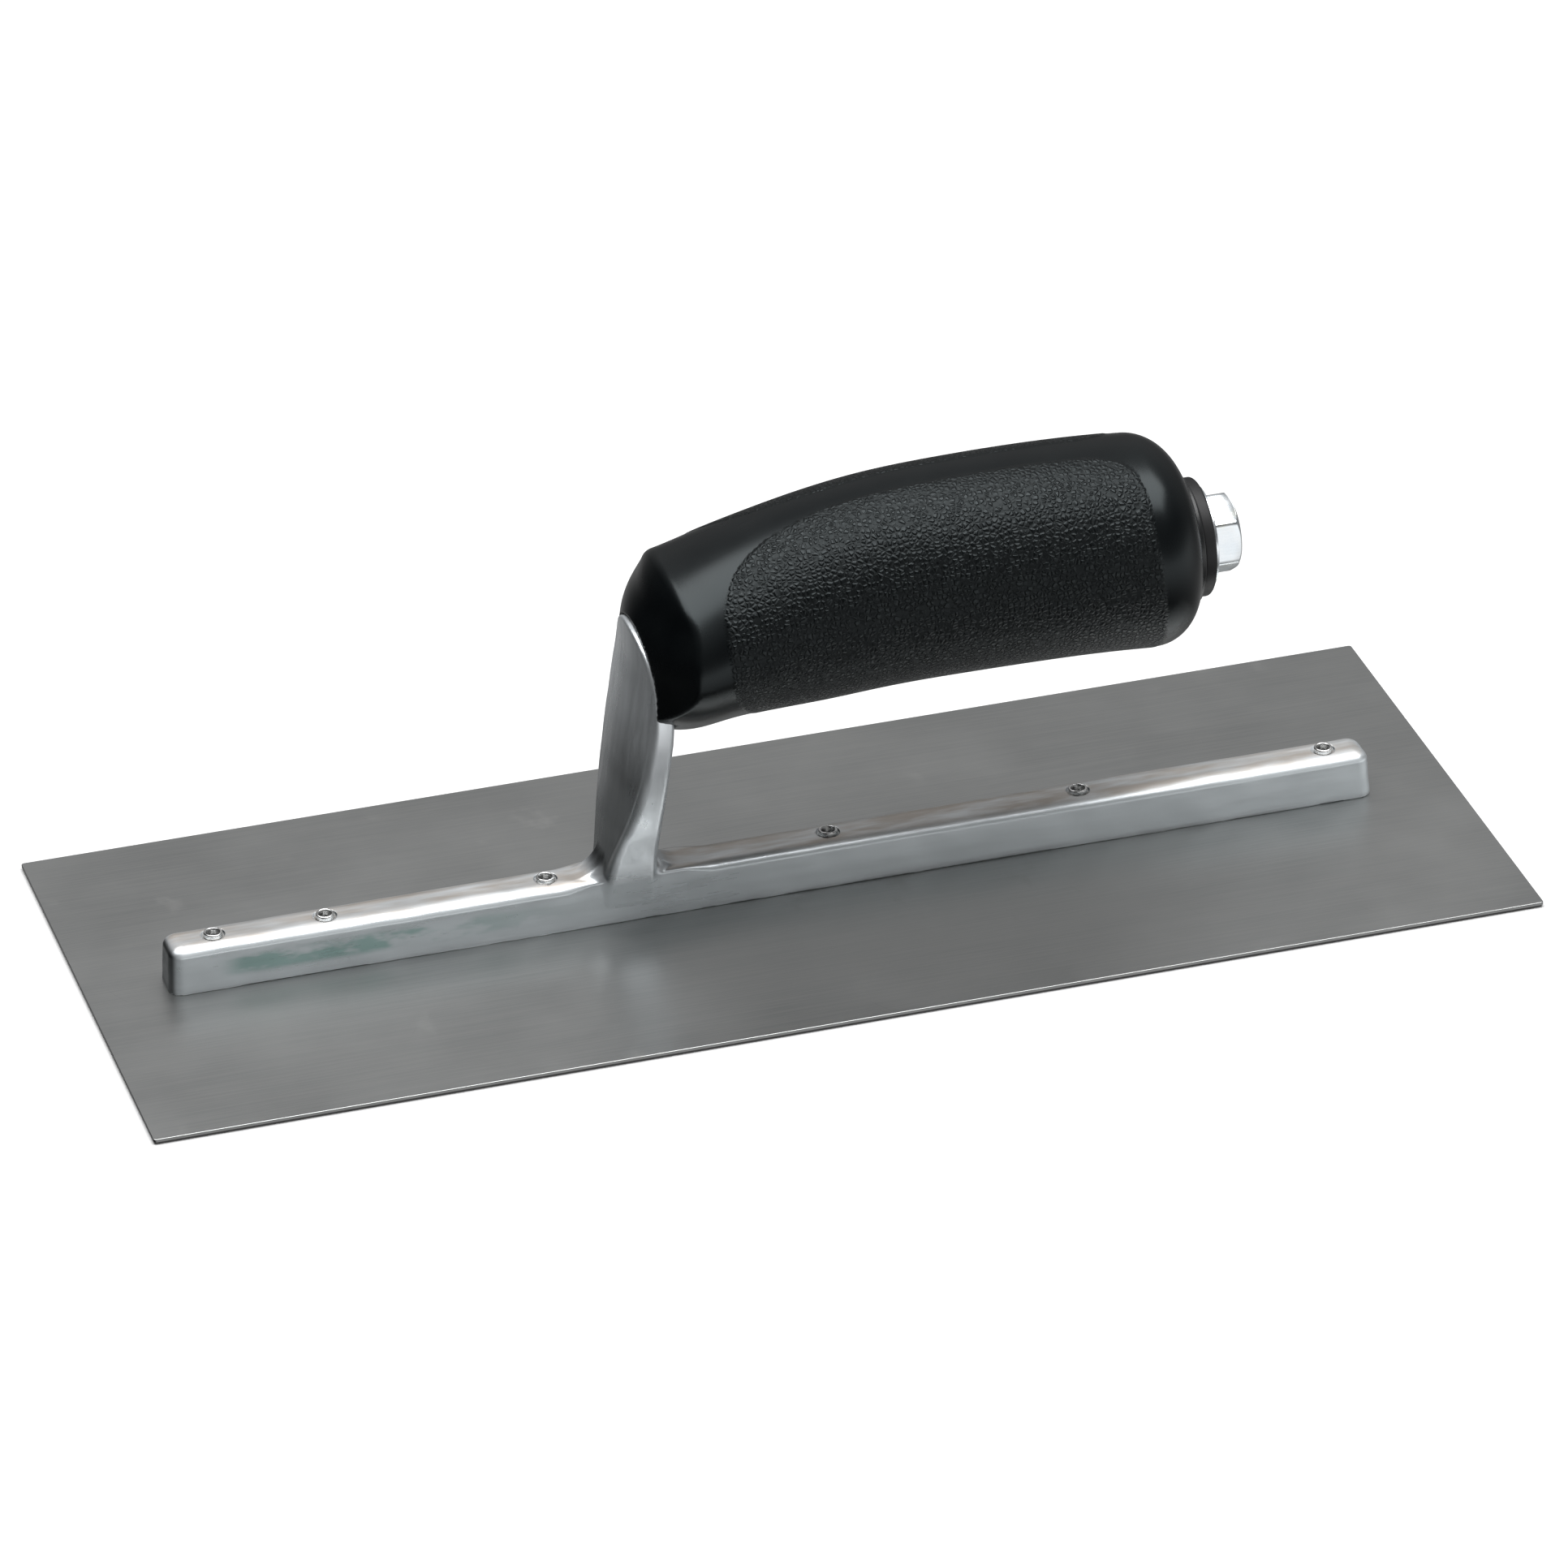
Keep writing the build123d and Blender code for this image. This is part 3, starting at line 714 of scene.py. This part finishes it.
# ---------------------------------------------------------------- shader graphs
class Graph:
    """Node tree of a material or world; each helper adds a node and returns its output."""

    def __init__(self, owner, shader="ShaderNodeBsdfPrincipled",
                 output="ShaderNodeOutputMaterial", coords="Object"):
        self.owner = owner
        owner.use_nodes = True
        self.tree = owner.node_tree
        self.tree.nodes.clear()
        end = self.node(output)
        self.shader = self.node(shader)
        self.put(end.inputs[0], self.shader.outputs[0])
        self.coords = self.node("ShaderNodeTexCoord").outputs[coords]

    def node(self, kind, **settings):
        node = self.tree.nodes.new(kind)
        for key, value in settings.items():
            setattr(node, key, value)
        return node

    def put(self, socket, value):
        """Links a socket, or sets a number or an RGB colour."""
        if isinstance(value, bpy.types.NodeSocket):
            self.tree.links.new(value, socket)
        else:
            socket.default_value = (*value, 1) if isinstance(value, tuple) else value

    def scaled(self, scale, shift=(0, 0, 0)):
        node = self.node("ShaderNodeMapping")
        self.put(node.inputs["Vector"], self.coords)
        node.inputs["Scale"].default_value = scale if isinstance(scale, tuple) else (scale,) * 3
        node.inputs["Location"].default_value = shift
        return node.outputs[0]

    def noise(self, scale, detail, rough=0.5, shift=(0, 0, 0), output=0):
        """Noise with the given number of cells per metre, one number or one per axis."""
        vector = self.scaled(scale, shift)
        node = self.node("ShaderNodeTexNoise")
        for key, value in (("Vector", vector), ("Scale", 1.0), ("Detail", detail),
                           ("Roughness", rough)):
            self.put(node.inputs[key], value)
        return node.outputs[output]

    def remap(self, value, span, to=(0.0, 1.0), kind="LINEAR"):
        """Carries the span's two ends to the ends of `to`, clamped."""
        node = self.node("ShaderNodeMapRange", interpolation_type=kind, clamp=True)
        for socket, number in zip(node.inputs, (value, *span, *to)):
            self.put(socket, number)
        return node.outputs[0]

    def ease(self, value, span, to=(0.0, 1.0)):
        return self.remap(value, span, to, "SMOOTHSTEP")

    def math(self, operation, one, other=0.0):
        node = self.node("ShaderNodeMath", operation=operation)
        self.put(node.inputs[0], one)
        self.put(node.inputs[1], other)
        return node.outputs[0]

    def chain(self, operation, values):
        result = values[0]
        for value in values[1:]:
            result = self.math(operation, result, value)
        return result

    def mul(self, *values):
        return self.chain("MULTIPLY", values)

    def add(self, *values):
        return self.chain("ADD", values)

    def mix(self, amount, one, other):
        """Blend of two colours."""
        node = self.node("ShaderNodeMix", data_type="RGBA")
        for i, value in ((0, amount), (6, one), (7, other)):
            self.put(node.inputs[i], value)
        return node.outputs[2]

    def mix_value(self, amount, one, other):
        node = self.node("ShaderNodeMix")
        for i, value in ((0, amount), (2, one), (3, other)):
            self.put(node.inputs[i], value)
        return node.outputs[0]

    def scale_vector(self, vector, factor):
        node = self.node("ShaderNodeVectorMath", operation="SCALE")
        self.put(node.inputs[0], vector)
        self.put(node.inputs[3], factor)
        return node.outputs[0]

    def attribute(self, name):
        return self.node("ShaderNodeAttribute", attribute_name=name).outputs["Fac"]

    def split(self, vector):
        node = self.node("ShaderNodeSeparateXYZ")
        self.put(node.inputs[0], vector)
        return node.outputs

    def bump(self, height, distance, strength=1.0, after=None):
        """Bump with its distance in metres, laid over the normal `after` if given."""
        node = self.node("ShaderNodeBump")
        self.put(node.inputs["Distance"], distance)
        self.put(node.inputs["Strength"], strength)
        self.put(node.inputs["Height"], height)
        if after is not None:
            self.put(node.inputs["Normal"], after)
        return node.outputs[0]

    def ramp(self, value, stops):
        """Grey ramp through (position, brightness) stops."""
        node = self.node("ShaderNodeValToRGB")
        self.put(node.inputs[0], value)
        elements = node.color_ramp.elements
        for position, _ in stops[1:-1]:
            elements.new(position)
        for element, (position, grey) in zip(elements, stops):
            element.position = position
            element.color = (grey, grey, grey, 1)
        return node.outputs[0]

    def finish(self, color, rough, metallic, normal=None, specular=0.5, tint=(1.0, 1.0, 1.0)):
        for key, value in (("Base Color", color), ("Roughness", rough), ("Metallic", metallic),
                           ("Specular IOR Level", specular), ("Specular Tint", tint)):
            self.put(self.shader.inputs[key], value)
        if normal is not None:
            self.put(self.shader.inputs["Normal"], normal)
        return self.owner


def new_material(name):
    return Graph(bpy.data.materials.new(name))


# ---------------------------------------------------------------- materials
# long scratches on the blade: direction, bands per metre, seed, width
SCRATCHES = [(1.02, 34.0, 3.1, 0.0018), (1.25, 27.0, 8.7, 0.0014),
             (0.25, 31.0, 5.3, 0.0014), (1.9, 23.0, 1.9, 0.0012)]


def scratch_mask(mat):
    x, y, _ = mat.split(mat.coords)
    wobble = mat.noise(18, detail=2)
    mask = None
    for angle, bands, seed, width in SCRATCHES:
        across = mat.add(mat.mul(x, math.sin(angle) * bands), mat.mul(y, math.cos(angle) * bands))
        across = mat.add(across, mat.mul(wobble, 0.35))
        across = mat.math("FRACT", mat.add(across, seed))
        across = mat.math("ABSOLUTE", mat.math("SUBTRACT", across, 0.5))
        line = mat.remap(across, span=(0.0, width * bands * 0.12), to=(1.0, 0.0))
        # noise breaks each line into stretches
        patches = mat.noise((38, 38, 38), detail=2, rough=0.6, shift=(seed, seed * 2, 0))
        line = mat.mul(line, mat.ease(patches, span=(0.60, 0.68), to=(0.0, 0.6)))
        mask = line if mask is None else mat.math("MAXIMUM", mask, line)
    return mask


def blade_steel():
    mat = new_material("blade_steel")
    brushed = mat.noise((45, 3800, 3800), detail=2, rough=0.55)
    cross = mat.noise((2600, 60, 900), detail=2)
    cloud = mat.noise(22, detail=4, rough=0.55)
    blotch = mat.noise((60, 42, 60), detail=5, rough=0.6)
    cloudy, pale = ((0.385, 0.397, 0.398), (0.43, 0.438, 0.435)), (0.45, 0.456, 0.452)
    brown, scratched = (0.335, 0.328, 0.315), (0.33, 0.33, 0.33)
    col = mat.mix(mat.remap(cloud, span=(0.3, 0.7)), *cloudy)
    col = mat.mix(mat.remap(brushed, span=(0.35, 0.65)), col, pale)
    stain = mat.ease(blotch, span=(0.60, 0.74), to=(0.0, 0.30))
    col = mat.mix(stain, col, brown)
    scratches = scratch_mask(mat)
    col = mat.mix(mat.mul(scratches, 0.5), col, scratched)
    # heights weighted against one another
    height = mat.add(mat.mul(brushed, 1.0), mat.mul(cross, 0.35))
    height = mat.math("SUBTRACT", height, mat.mul(scratches, 1.2))
    normal = mat.bump(height, distance=0.0000022)
    rough = mat.add(mat.remap(cloud, span=(0.3, 0.7), to=(0.30, 0.37)), mat.mul(stain, 0.25))
    return mat.finish(col, rough, metallic=1.0, normal=normal)


def cast_alloy():
    mat = new_material("cast_alloy")
    x, _, z = mat.split(mat.coords)
    # streaks run along the bar, and up the post
    on_post = mat.ease(z, span=(0.0105, 0.0165))
    streak = mat.mix_value(on_post, mat.noise((28, 420, 420), detail=4, rough=0.6),
                           mat.noise((300, 300, 22), detail=3))
    fine = mat.mix_value(on_post,
                         mat.noise((70, 900, 900), detail=3, rough=0.6, shift=(3, 1, 2)),
                         mat.noise((520, 520, 26), detail=2, shift=(3, 1, 2)))
    cloud = mat.noise(60, detail=3, rough=0.55)
    pits = mat.noise(900, detail=3, rough=0.6)
    cavity = mat.attribute("cavity")
    cloudy, streaked = ((0.74, 0.785, 0.815), (0.87, 0.91, 0.94)), (0.64, 0.675, 0.70)
    # the warm grey is a painted reflection, the dark grey a painted shade; the green is a film
    reflection_warm_grey, crease_shade_grey, green = (0.50, 0.46, 0.42), (0.20, 0.21, 0.21), (0.22, 0.50, 0.44)
    # a painted shade tone, and a painted light tone for the bar flanks
    painted_shade_tone, flank_light_tone = (0.17, 0.18, 0.185), (0.88, 0.955, 0.985)
    col = mat.mix(mat.remap(cloud, span=(0.32, 0.68)), *cloudy)
    col = mat.mix(mat.remap(streak, span=(0.42, 0.66), to=(0.0, 0.55)), col, streaked)
    # painted warm reflection on the top of the bar
    geometry = mat.node("ShaderNodeNewGeometry")
    facing_x, facing_y, facing_z = mat.split(geometry.outputs["Normal"])
    bar_top = mat.mul(mat.ease(facing_z, span=(0.75, 0.98)),
                      mat.remap(z, span=(0.0085, 0.0095)),
                      mat.remap(z, span=(0.012, 0.015), to=(1, 0)))
    film_and_reflection = mat.noise((60, 300, 300), detail=3, rough=0.6, shift=(5, 5, 5))
    warm_reflection = mat.mul(bar_top, mat.remap(film_and_reflection, span=(0.35, 0.62), to=(0.25, 0.95)))
    col = mat.mix(warm_reflection, col, reflection_warm_grey)
    # painted shade in the corners and along the blade
    crease_shade = mat.mul(mat.ease(cavity, span=(0.10, 0.75)),
                   mat.remap(cloud, span=(0.25, 0.6), to=(0.4, 1.0)))
    low = mat.mul(mat.ease(z, span=(0.0008, 0.0027), to=(1, 0)),
                  mat.remap(streak, span=(0.35, 0.6), to=(0.2, 0.9)))
    crease_shade = mat.math("MAXIMUM", crease_shade, mat.mul(low, 0.8))
    col = mat.mix(mat.mul(crease_shade, 0.75), col, crease_shade_grey)
    # faint green-blue film on the -Y flank, near the -X end
    flank = mat.mul(mat.ease(facing_y, span=(-0.75, -0.98)),
                    mat.ease(z, span=(0.0024, 0.0042)),
                    mat.ease(z, span=(0.0062, 0.0082), to=(1, 0)))
    patches = mat.noise((90, 260, 260), detail=3, rough=0.6, shift=(1, 7, 3))
    film_and_reflection = mat.mul(mat.mul(mat.ease(x, span=(-0.116, -0.108)),
                           mat.ease(x, span=(-0.082, -0.030), to=(1, 0.0))),
                   flank, mat.ease(patches, span=(0.38, 0.60), to=(0.1, 1.0)))
    col = mat.mix(mat.mul(film_and_reflection, 0.62), col, green)
    rough = mat.add(mat.remap(cloud, span=(0.3, 0.7), to=(0.23, 0.31)),
                    mat.remap(fine, span=(0.4, 0.7), to=(0.0, 0.11)),
                    mat.ease(x, span=(-0.03, 0.04), to=(0.0, 0.10)),
                    mat.mul(crease_shade, 0.25), mat.mul(warm_reflection, 0.12))
    wave = mat.mix_value(on_post, mat.noise((60, 210, 210), detail=3),
                         mat.noise((110, 110, 30), detail=2))
    normal = mat.bump(wave, distance=0.00006, strength=0.5)
    normal = mat.bump(pits, distance=0.0000022, strength=0.8, after=normal)
    # painted shade on the -X faces low on the post, painted light on the bar flanks where there
    # is no painted shade or film
    toe_shade = mat.mul(mat.ease(facing_x, span=(-0.45, -0.9)),
                  mat.ease(z, span=(0.0095, 0.030), to=(0.90, 0.62)),
                  mat.ease(z, span=(0.030, 0.050), to=(1.0, 0.0)))
    col = mat.mix(toe_shade, col, painted_shade_tone)
    flanks = mat.mul(mat.ease(mat.math("ABSOLUTE", facing_y), span=(0.55, 0.9)),
                     mat.ease(z, span=(0.0088, 0.0104), to=(1, 0)))
    shade_and_film = mat.math("MAXIMUM", crease_shade, film_and_reflection)
    flank_light = mat.mul(flanks, mat.remap(shade_and_film, span=(0.05, 0.9), to=(0.65, 0.0)))
    col = mat.mix(flank_light, col, flank_light_tone)
    metallic = mat.math("SUBTRACT", mat.remap(toe_shade, span=(0, 1), to=(0.70, 1.0)),
                        mat.mul(flanks, 0.30))
    return mat.finish(col, rough, metallic, normal)


def rivet_steel():
    mat = new_material("rivet_steel")
    cloud = mat.noise(700, detail=4, rough=0.6)
    cloudy, painted_shade_tone = ((0.62, 0.63, 0.63), (0.80, 0.80, 0.79)), (0.10, 0.10, 0.10)
    col = mat.mix(mat.remap(cloud, span=(0.35, 0.65)), *cloudy)
    # painted shade down inside the hollow
    z = mat.split(mat.coords)[2]
    hollow_shade = mat.ease(z, span=(0.0095, 0.0104), to=(1, 0))
    col = mat.mix(mat.mul(hollow_shade, mat.remap(z, span=(0.004, 0.005), to=(0, 0.75))), col, painted_shade_tone)
    normal = mat.bump(mat.noise(1500, detail=3, rough=0.6), distance=0.00002, strength=0.7)
    rough = mat.remap(cloud, span=(0.3, 0.7), to=(0.2, 0.36))
    return mat.finish(col, rough, metallic=1.0, normal=normal)


def soft_grip():
    mat = new_material("soft_grip")
    panel = mat.attribute("panel")
    # pebbles: cells of a warped grid, raised from their edges
    bend = mat.scale_vector(mat.noise(260, detail=2, output="Color"), factor=0.55)
    warp = mat.node("ShaderNodeVectorMath", operation="ADD")
    mat.put(warp.inputs[0], mat.scaled(1010))
    mat.put(warp.inputs[1], bend)
    cells = mat.node("ShaderNodeTexVoronoi", feature="DISTANCE_TO_EDGE")
    for key, value in (("Vector", warp.outputs[0]), ("Scale", 1.0), ("Randomness", 0.85)):
        mat.put(cells.inputs[key], value)
    pebble = mat.ease(cells.outputs["Distance"], span=(0.0, 0.34))
    micro = mat.noise(4200, detail=3, rough=0.6)
    skin = mat.noise(90, detail=3)
    smooth_black = (0.0026, 0.0034, 0.0040), (0.0042, 0.0052, 0.0058)
    # the pebble colour darkens towards the cell edges: painted shade in the crevices
    pebble_black = (0.0010, 0.0013, 0.0015), (0.0044, 0.0054, 0.0060)
    col = mat.mix(mat.remap(skin, span=(0.35, 0.65)), *smooth_black)
    col = mat.mix(panel, col, mat.mix(pebble, *pebble_black))
    rough = mat.mix_value(panel, mat.remap(skin, span=(0.3, 0.7), to=(0.235, 0.29)),
                          mat.remap(pebble, span=(0.0, 1.0), to=(0.47, 0.255)))
    normal = mat.bump(mat.noise(130, detail=2), distance=0.00005, strength=0.35)
    grain = mat.mul(mat.add(pebble, 0.2, mat.mul(micro, 0.10)), panel)
    normal = mat.bump(grain, distance=0.00012, after=normal)
    return mat.finish(col, rough, metallic=0.0, normal=normal, specular=0.29,
                      tint=(0.86, 0.97, 1.0))


def plastic(name, colors, rough, specular):
    mat = new_material(name)
    cloud = mat.noise(160, detail=3, rough=0.55)
    col = mat.mix(mat.remap(cloud, span=(0.35, 0.65)), *colors)
    normal = mat.bump(mat.noise(1800, detail=3, rough=0.6), distance=0.00002, strength=0.6)
    rough = mat.remap(cloud, span=(0.3, 0.7), to=rough)
    return mat.finish(col, rough, metallic=0.0, normal=normal, specular=specular)


def rigid_core():
    return plastic("rigid_core", colors=((0.012, 0.013, 0.014), (0.02, 0.021, 0.022)),
                   rough=(0.22, 0.3), specular=0.45)


def black_pad():
    return plastic("black_pad", colors=((0.008, 0.008, 0.009), (0.014, 0.014, 0.015)),
                   rough=(0.42, 0.55), specular=0.4)


def zinc_plate():
    mat = new_material("zinc_plate")
    cloud = mat.noise(240, detail=4, rough=0.6)
    fine = mat.noise((300, 1500, 1500), detail=3, rough=0.6)
    cloudy, yellow = ((0.74, 0.79, 0.83), (0.86, 0.89, 0.91)), (0.80, 0.78, 0.60)
    col = mat.mix(mat.remap(cloud, span=(0.35, 0.65)), *cloudy)
    tinge = mat.ease(mat.noise(130, detail=2), span=(0.56, 0.72), to=(0, 0.35))
    col = mat.mix(tinge, col, yellow)
    normal = mat.bump(fine, distance=0.00002, strength=0.6)
    rough = mat.remap(cloud, span=(0.3, 0.7), to=(0.16, 0.28))
    return mat.finish(col, rough, metallic=1.0, normal=normal)


# ---------------------------------------------------------------- put the pieces together
# builder, CAD node it replaces, body it rides on, material (its function's name is the slot)
PIECES = [
    (build_blade, "blade", "tool", blade_steel),
    (build_casting, "mounting", "tool", cast_alloy),
    (build_rivets, "rivets", "tool", rivet_steel),
    (build_grip, "grip", "tool", soft_grip),
    (build_core, "handle_core", "tool", rigid_core),
    (build_pad, "end_pad", "end_washers", black_pad),
    (build_washer, "steel_washer", "end_washers", zinc_plate),
    (build_bolt, "hex_bolt", "bolt", zinc_plate),
]
materials = {}
for build, node_name, body, make_material in PIECES:
    piece = build()
    slot = make_material.__name__
    if slot not in materials:
        materials[slot] = make_material()
    piece.data.materials.append(materials[slot])
    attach(piece, body)
    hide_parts(node_name)


# ---------------------------------------------------------------- floor, light, world, camera
def add_floor(half=4.0, drop=0.0004):
    """Plain floor just under the blade, left out of reflections and bounced light."""
    mesh = bpy.data.meshes.new("floor")
    corners = [(-half, -half, 0), (half, -half, 0), (half, half, 0), (-half, half, 0)]
    mesh.from_pydata(corners, [], [(0, 1, 2, 3)])
    floor = link_object("floor", mesh)
    floor.location.z = -drop
    mat = new_material("floor_paint")
    greys = (0.86, 0.86, 0.86), (0.88, 0.88, 0.88)
    col = mat.mix(mat.noise(3, detail=3), *greys)
    mesh.materials.append(mat.finish(col, rough=0.9, metallic=0.0, specular=0.1))
    floor.visible_glossy = False
    floor.visible_diffuse = False


def add_softbox(name, place, target, size_x, size_y, power):
    light = bpy.data.lights.new(name, "AREA")
    light.shape = "RECTANGLE"
    light.size, light.size_y = size_x, size_y
    light.energy = power
    lamp = link_object(name, light)
    lamp.location = place
    lamp.rotation_mode = "QUATERNION"
    lamp.rotation_quaternion = (Vector(target) - Vector(place)).to_track_quat("-Z", "Y")


# brightness from straight down (0) to straight up (1), towards +Y and towards -Y
SKY_FAR = [(0.0, 0.10), (0.14, 0.16), (0.27, 0.36), (0.40, 0.20), (0.48, 0.10), (0.60, 0.18),
           (0.72, 0.29), (0.84, 0.34), (1.0, 0.6)]
SKY_NEAR = [(0.0, 0.08), (0.13, 0.09), (0.26, 0.42), (0.40, 1.0), (0.49, 1.3), (0.53, 0.60),
            (0.58, 0.22), (0.70, 0.11), (0.80, 0.14), (0.90, 0.30), (1.0, 0.6)]


def add_world():
    """What metal and gloss mirror: pale low towards -Y, dim towards +Y and -X."""
    world = bpy.data.worlds.new("studio")
    bpy.context.scene.world = world
    sky = Graph(world, "ShaderNodeBackground", "ShaderNodeOutputWorld", "Generated")
    x, y, z = sky.split(sky.coords)
    lift = sky.remap(z, span=(-1.0, 1.0))
    far, near = sky.ramp(lift, SKY_FAR), sky.ramp(lift, SKY_NEAR)
    color = sky.mix(sky.ease(y, span=(-0.45, 0.35)), near, far)
    dimming = sky.ease(x, span=(-0.62, -0.02), to=(0.06, 1.1))
    sky.put(sky.shader.inputs["Color"], sky.scale_vector(color, dimming))
    sky.put(sky.shader.inputs["Strength"], 1.0)


def add_camera(place, azimuth, elevation, roll, lens):
    """Camera from angles in degrees; azimuth turns from -Y towards +X."""
    azimuth, elevation, roll = map(math.radians, (azimuth, elevation, roll))
    back = np.array([math.sin(azimuth) * math.cos(elevation),
                     -math.cos(azimuth) * math.cos(elevation), math.sin(elevation)])
    level = np.cross([0, 0, 1], back)
    level /= np.linalg.norm(level)
    upright = np.cross(back, level)
    right = math.cos(roll) * level + math.sin(roll) * upright
    above = -math.sin(roll) * level + math.cos(roll) * upright
    data = bpy.data.cameras.new("camera")
    data.sensor_width = 36.0
    data.lens = lens
    data.clip_start, data.clip_end = 0.05, 50
    camera = link_object("camera", data)
    rows = np.column_stack([right, above, back, place]).tolist()
    camera.matrix_world = Matrix([*rows, (0, 0, 0, 1)])
    bpy.context.scene.camera = camera


add_floor()
add_softbox("softbox_top", place=(0.05, 0.10, 1.30), target=(0.0, 0.0, 0.03),
            size_x=2.0, size_y=0.95, power=27.5)
add_world()
add_camera(place=(-0.467815, -1.678245, 0.969651), azimuth=-15.64332117,
           elevation=28.52424573, roll=-1.77077434, lens=232.1986957)
bpy.context.scene.view_settings.view_transform = "Standard"
bpy.context.scene.view_settings.look = "None"

bpy.context.view_layer.update()
